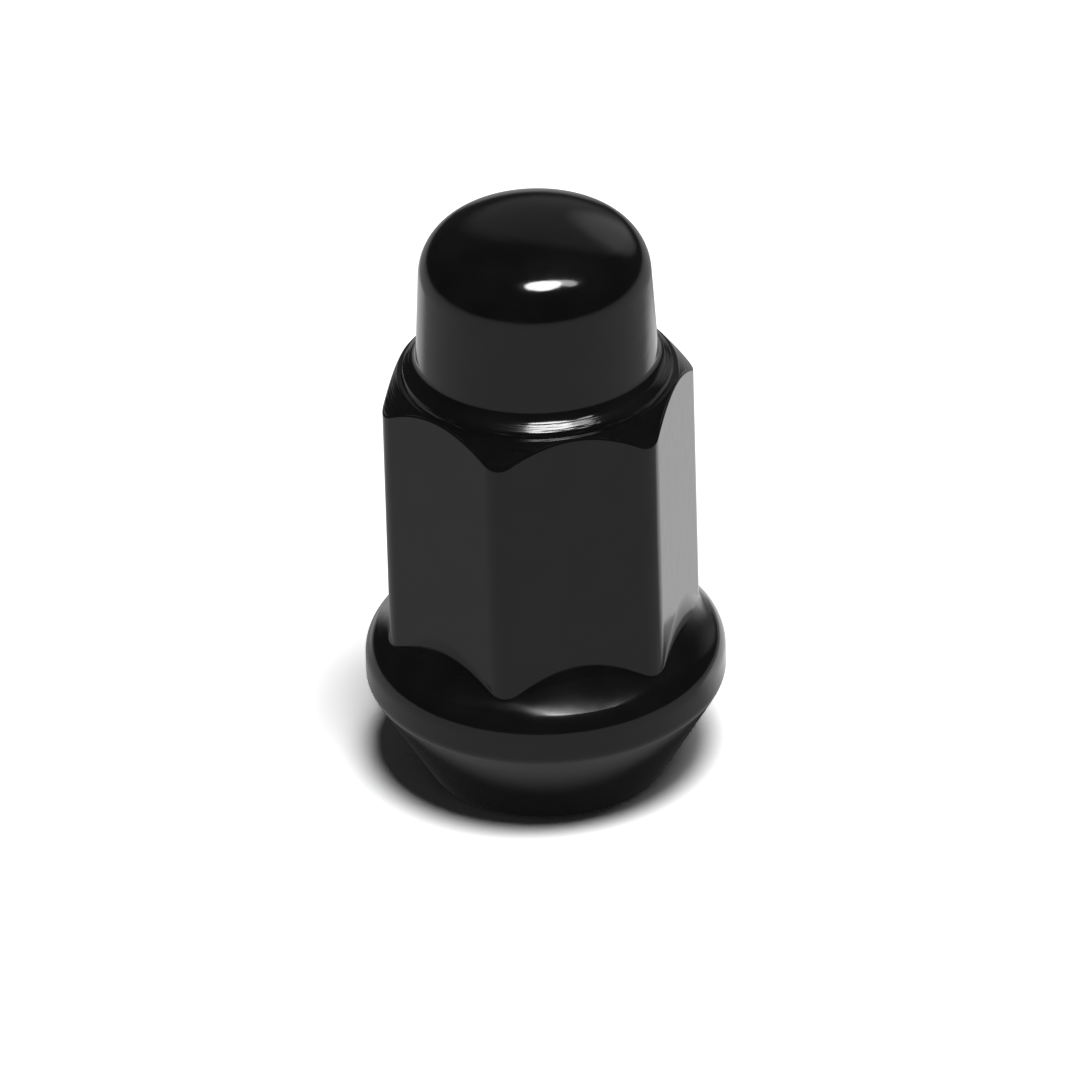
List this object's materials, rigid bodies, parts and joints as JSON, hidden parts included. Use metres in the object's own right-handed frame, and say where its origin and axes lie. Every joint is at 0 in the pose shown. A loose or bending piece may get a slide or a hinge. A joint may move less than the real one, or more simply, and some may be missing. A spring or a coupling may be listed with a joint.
{
  "type": "lug nut",
  "caption": "Closed-end bulge acorn lug nut: tapered wheel seat, bulged flange, wrench hex, turned collar and domed end around a blind stud hole, in gloss black.",
  "frame": {"origin": "centre of the flat end of the seat, on the nut's axis", "axes": "+Z along the axis from the seat end to the dome, +X through one corner of the hex"},
  "size_m": [0.0244, 0.0244, 0.0424],
  "materials": {
    "black_coat": "smooth gloss black coat over forged steel, with fine turning lines on the collar"
  },
  "bodies": {
    "root": {"lug_nut": "black_coat"}
  },
  "joints": []
}
